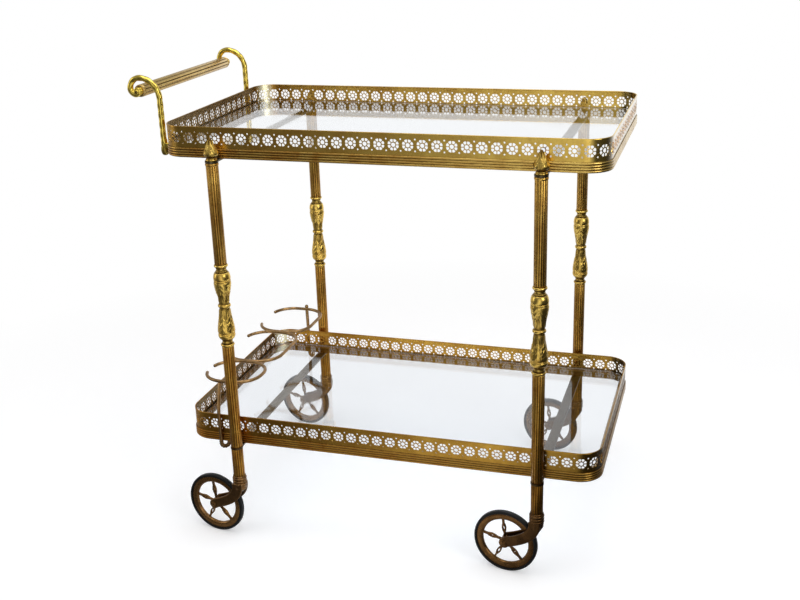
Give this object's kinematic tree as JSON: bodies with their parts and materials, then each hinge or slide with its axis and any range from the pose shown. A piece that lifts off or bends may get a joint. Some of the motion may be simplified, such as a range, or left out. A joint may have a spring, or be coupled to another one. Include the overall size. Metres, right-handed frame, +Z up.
{
  "type": "dessert trolley",
  "caption": "Two-tier brass serving trolley with glass shelves, pierced galleries, turned legs, a scrolled push handle, a wire bottle rack and spoked swivel casters.",
  "frame": {"origin": "on the floor, midway along the whole length including the handle, on the plane midway between the front and back legs", "axes": "+X along the trolley away from the handle, +Y from the front legs to the back legs, +Z up"},
  "size_m": [0.7688, 0.4609, 0.7845],
  "materials": {
    "gallery_brass": "lacquered, lightly tarnished",
    "moulding_brass": "reeded, tarnished in the grooves",
    "tube_brass": "fluted tube, mottled patina",
    "cast_brass": "cast relief, dark in the hollows",
    "handle_brass": "polished by hands",
    "bar_brass": "reeded, dulled to grey gold and pink",
    "strap_brass": "dull flat bar",
    "rack_wire": "drawn wire, browned",
    "caster_brass": "cast, dark brown patina",
    "steel": "turned",
    "glass": "clear float glass",
    "tyre_rubber": "matt black"
  },
  "bodies": {
    "root": {"upper_moulding": "moulding_brass", "lower_moulding": "moulding_brass", "upper_gallery": "gallery_brass", "lower_gallery": "gallery_brass", "upper_glass": "glass", "lower_glass": "glass", "upper_strap_left": "strap_brass", "upper_strap_right": "strap_brass", "lower_strap_left": "strap_brass", "lower_strap_right": "strap_brass", "tie_rods": "steel", "caster_stems": "steel", "handle_bar": "bar_brass", "handle_arm_front": "handle_brass", "handle_arm_back": "handle_brass", "handle_socket_front": "handle_brass", "handle_socket_back": "handle_brass", "handle_screws": "handle_brass", "rack_post_front": "rack_wire", "rack_post_back": "rack_wire", "rack_ring_front": "rack_wire", "rack_ring_middle": "rack_wire", "rack_ring_back": "rack_wire", "finial_fl": "cast_brass", "finial_fr": "cast_brass", "finial_bl": "cast_brass", "finial_br": "cast_brass", "upper_tube_fl": "tube_brass", "upper_tube_fr": "tube_brass", "upper_tube_bl": "tube_brass", "upper_tube_br": "tube_brass", "baluster_fl": "cast_brass", "baluster_fr": "cast_brass", "baluster_bl": "cast_brass", "baluster_br": "cast_brass", "middle_tube_fl": "tube_brass", "middle_tube_fr": "tube_brass", "middle_tube_bl": "tube_brass", "middle_tube_br": "tube_brass", "foot_tube_fl": "tube_brass", "foot_tube_fr": "tube_brass", "foot_tube_bl": "tube_brass", "foot_tube_br": "tube_brass"},
    "caster_fl": {"fork_fl": "caster_brass", "axle_fl": "caster_brass"},
    "rolling_wheel_fl": {"wheel_fl": "caster_brass", "tyre_fl": "tyre_rubber"},
    "caster_fr": {"fork_fr": "caster_brass", "axle_fr": "caster_brass"},
    "rolling_wheel_fr": {"wheel_fr": "caster_brass", "tyre_fr": "tyre_rubber"},
    "caster_bl": {"fork_bl": "caster_brass", "axle_bl": "caster_brass"},
    "rolling_wheel_bl": {"wheel_bl": "caster_brass", "tyre_bl": "tyre_rubber"},
    "caster_br": {"fork_br": "caster_brass", "axle_br": "caster_brass"},
    "rolling_wheel_br": {"wheel_br": "caster_brass", "tyre_br": "tyre_rubber"}
  },
  "joints": [
    {"name": "swivel_fl", "type": "hinge", "parent": "root", "child": "caster_fl", "pos_m": [-0.2234, -0.2126, 0.1], "axis": [0, 0, 1], "continuous": true},
    {"name": "roll_fl", "type": "hinge", "parent": "caster_fl", "child": "rolling_wheel_fl", "pos_m": [-0.27476, -0.20447, 0.0537], "axis": [0.1564, 0.9877, 0], "continuous": true},
    {"name": "swivel_fr", "type": "hinge", "parent": "root", "child": "caster_fr", "pos_m": [0.2886, -0.2126, 0.1], "axis": [0, 0, 1], "continuous": true},
    {"name": "roll_fr", "type": "hinge", "parent": "caster_fr", "child": "rolling_wheel_fr", "pos_m": [0.23724, -0.20447, 0.0537], "axis": [0.1564, 0.9877, 0], "continuous": true},
    {"name": "swivel_bl", "type": "hinge", "parent": "root", "child": "caster_bl", "pos_m": [-0.2234, 0.2126, 0.1], "axis": [0, 0, 1], "continuous": true},
    {"name": "roll_bl", "type": "hinge", "parent": "caster_bl", "child": "rolling_wheel_bl", "pos_m": [-0.27476, 0.22073, 0.0537], "axis": [0.1564, 0.9877, 0], "continuous": true},
    {"name": "swivel_br", "type": "hinge", "parent": "root", "child": "caster_br", "pos_m": [0.2886, 0.2126, 0.1], "axis": [0, 0, 1], "continuous": true},
    {"name": "roll_br", "type": "hinge", "parent": "caster_br", "child": "rolling_wheel_br", "pos_m": [0.23724, 0.22073, 0.0537], "axis": [0.1564, 0.9877, 0], "continuous": true}
  ]
}
